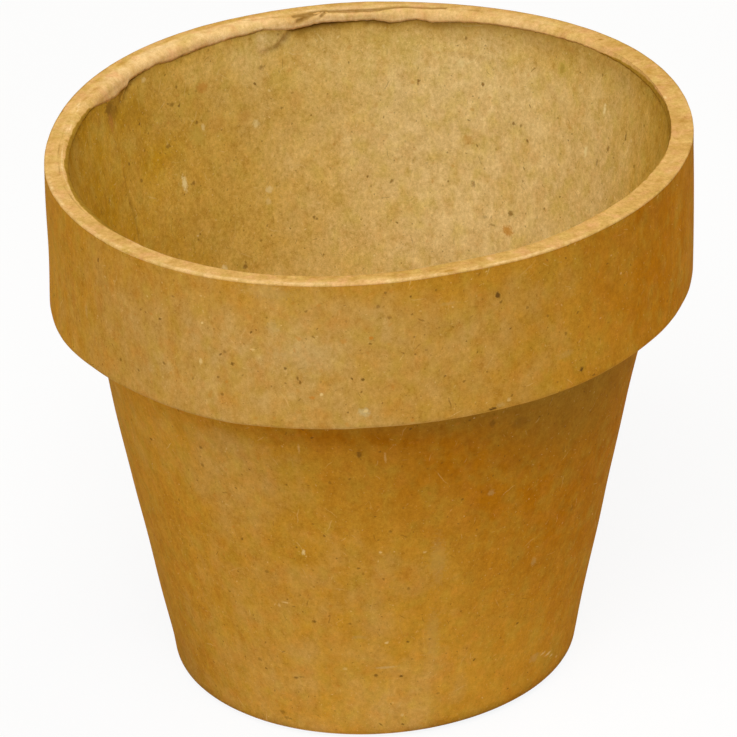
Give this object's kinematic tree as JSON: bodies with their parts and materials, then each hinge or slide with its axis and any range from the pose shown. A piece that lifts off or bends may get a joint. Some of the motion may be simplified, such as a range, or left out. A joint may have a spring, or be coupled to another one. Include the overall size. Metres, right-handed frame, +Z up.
{
  "type": "cardboard plant pot",
  "caption": "Tapered cardboard plant pot with a deep collar round its rim, rolled from board and covered inside and out with kraft paper.",
  "frame": {"origin": "centre of the foot, on the ground", "axes": "+Z up along the pot's axis, -Y towards the viewer of the picture, +X to the viewer's right"},
  "size_m": [0.1206, 0.1206, 0.107],
  "materials": {
    "board": "raw grey-brown board, matt",
    "outer_kraft": "recycled kraft paper, matt, flecked and fibrous",
    "inner_kraft": "recycled kraft paper, matt, mottled with small flecks",
    "edge_kraft": "pale kraft paper strip, matt, rubbed along the edges"
  },
  "bodies": {
    "root": {"wall_outer_ply": "board", "wall_inner_ply": "board", "base_board": "board", "collar_floor_ring": "board", "collar_inner_band": "board", "collar_outer_band": "board", "wall_wrap_paper": "outer_kraft", "collar_wrap_paper": "outer_kraft", "rim_edge_paper": "edge_kraft", "lining_paper": "inner_kraft", "floor_paper": "inner_kraft", "underside_paper": "outer_kraft"}
  },
  "joints": []
}
